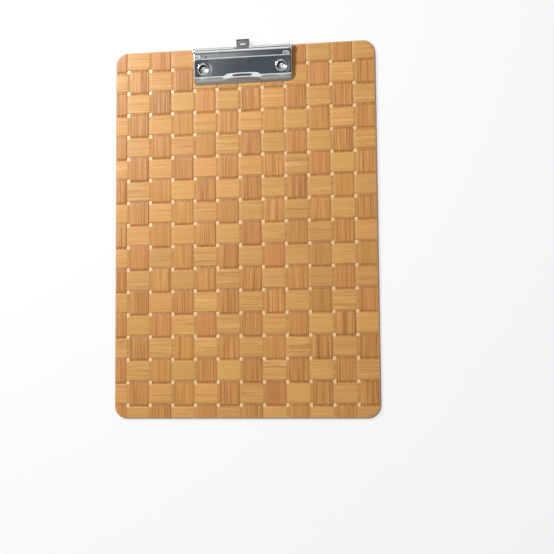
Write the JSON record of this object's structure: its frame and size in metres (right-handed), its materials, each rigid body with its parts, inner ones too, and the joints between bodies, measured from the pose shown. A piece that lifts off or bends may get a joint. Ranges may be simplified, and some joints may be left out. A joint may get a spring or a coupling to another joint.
{
  "type": "clipboard",
  "caption": "A4 clipboard with a woven wood-strip face and a low-profile chrome lift-up spring clip with a sliding hanger tab.",
  "frame": {"origin": "centre of the board's flat back face", "axes": "+X to the right seen from the front, +Y along the board's length towards the clip, +Z out of the woven front face"},
  "size_m": [0.225, 0.321, 0.009],
  "materials": {
    "core": "matte fibreboard",
    "backing": "satin wood-grain sheet",
    "warp": "satin slatted grain",
    "weft": "satin fine grain",
    "clip_chrome": "bright nickel-chrome plating",
    "rivet": "bright plated",
    "pin_steel": "drawn steel",
    "spring_steel": "spring wire"
  },
  "bodies": {
    "board": {"core_panel": "core", "back_sheet": "backing", "clip_base": "clip_chrome", "clip_rivets": "rivet", "hinge_pin": "pin_steel", "torsion_spring_left": "spring_steel", "torsion_spring_right": "spring_steel", "warp_strip_01": "warp", "warp_strip_02": "warp", "warp_strip_03": "warp", "warp_strip_04": "warp", "warp_strip_05": "warp", "warp_strip_06": "warp", "warp_strip_07": "warp", "warp_strip_08": "warp", "warp_strip_09": "warp", "warp_strip_10": "warp", "warp_strip_11": "warp", "warp_strip_12": "warp", "weft_strip_01": "weft", "weft_strip_02": "weft", "weft_strip_03": "weft", "weft_strip_04": "weft", "weft_strip_05": "weft", "weft_strip_06": "weft", "weft_strip_07": "weft", "weft_strip_08": "weft", "weft_strip_09": "weft", "weft_strip_10": "weft", "weft_strip_11": "weft", "weft_strip_12": "weft", "weft_strip_13": "weft", "weft_strip_14": "weft", "weft_strip_15": "weft", "weft_strip_16": "weft", "weft_strip_17": "weft"},
    "jaw": {"clip_jaw": "clip_chrome"},
    "hanger": {"hanger_tab": "clip_chrome"}
  },
  "joints": [
    {"name": "jaw_hinge", "type": "hinge", "parent": "board", "child": "jaw", "pos_m": [0, 0.154, 0.006], "axis": [-1, 0, 0], "range_deg": [0, 35], "stiffness_Nm_per_rad": 0.35, "springref_deg": -48.7, "deforming": ["torsion_spring_left", "torsion_spring_right"]},
    {"name": "hanger_slide", "type": "slide", "parent": "board", "child": "hanger", "axis": [0, 1, 0], "range_m": [-0.006, 0.0025]}
  ]
}
